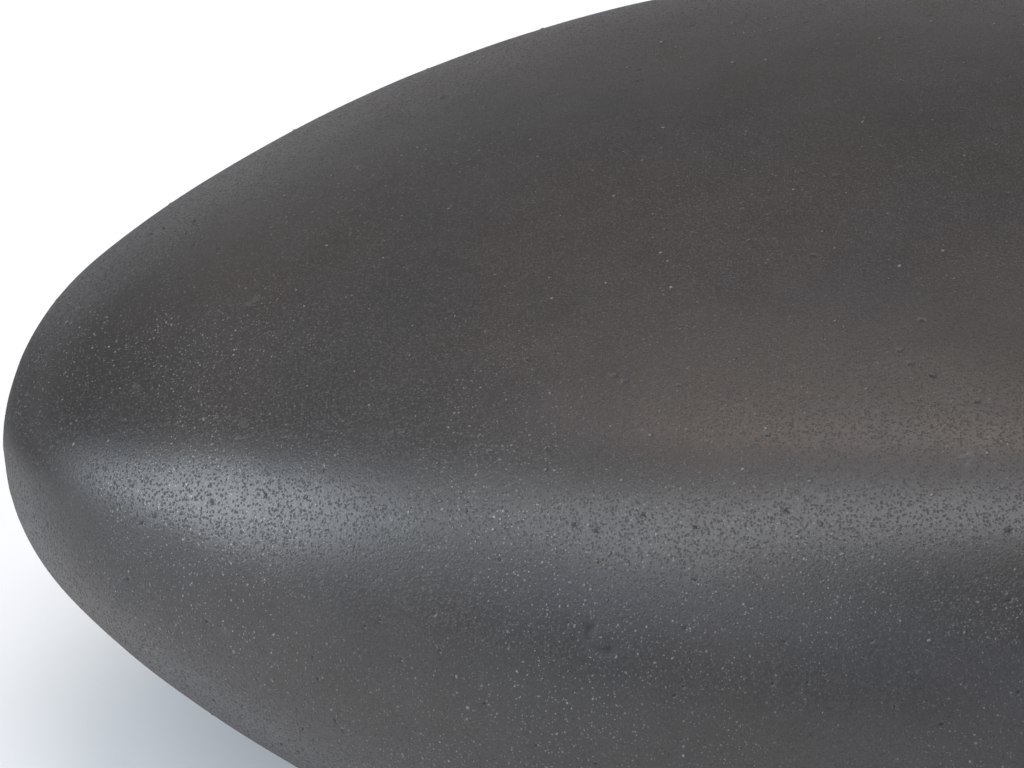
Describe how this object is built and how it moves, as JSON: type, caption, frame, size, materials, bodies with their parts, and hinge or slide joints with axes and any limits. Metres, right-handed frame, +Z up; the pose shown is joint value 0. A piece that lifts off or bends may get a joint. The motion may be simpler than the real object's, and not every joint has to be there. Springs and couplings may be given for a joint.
{
  "type": "massage stone",
  "caption": "Smooth flattened pebble of dark basalt with one slightly pointed end, held in the hand or laid on the body for warm stone massage.",
  "frame": {"origin": "on the flat ground on the underside, under the middle of the stone", "axes": "+X along the stone towards its blunt end, +Y across it, +Z up through the crown"},
  "size_m": [0.08, 0.054, 0.0275],
  "materials": {
    "basalt": "waxed, semi-gloss, finely speckled"
  },
  "bodies": {
    "root": {"stone": "basalt"}
  },
  "joints": []
}
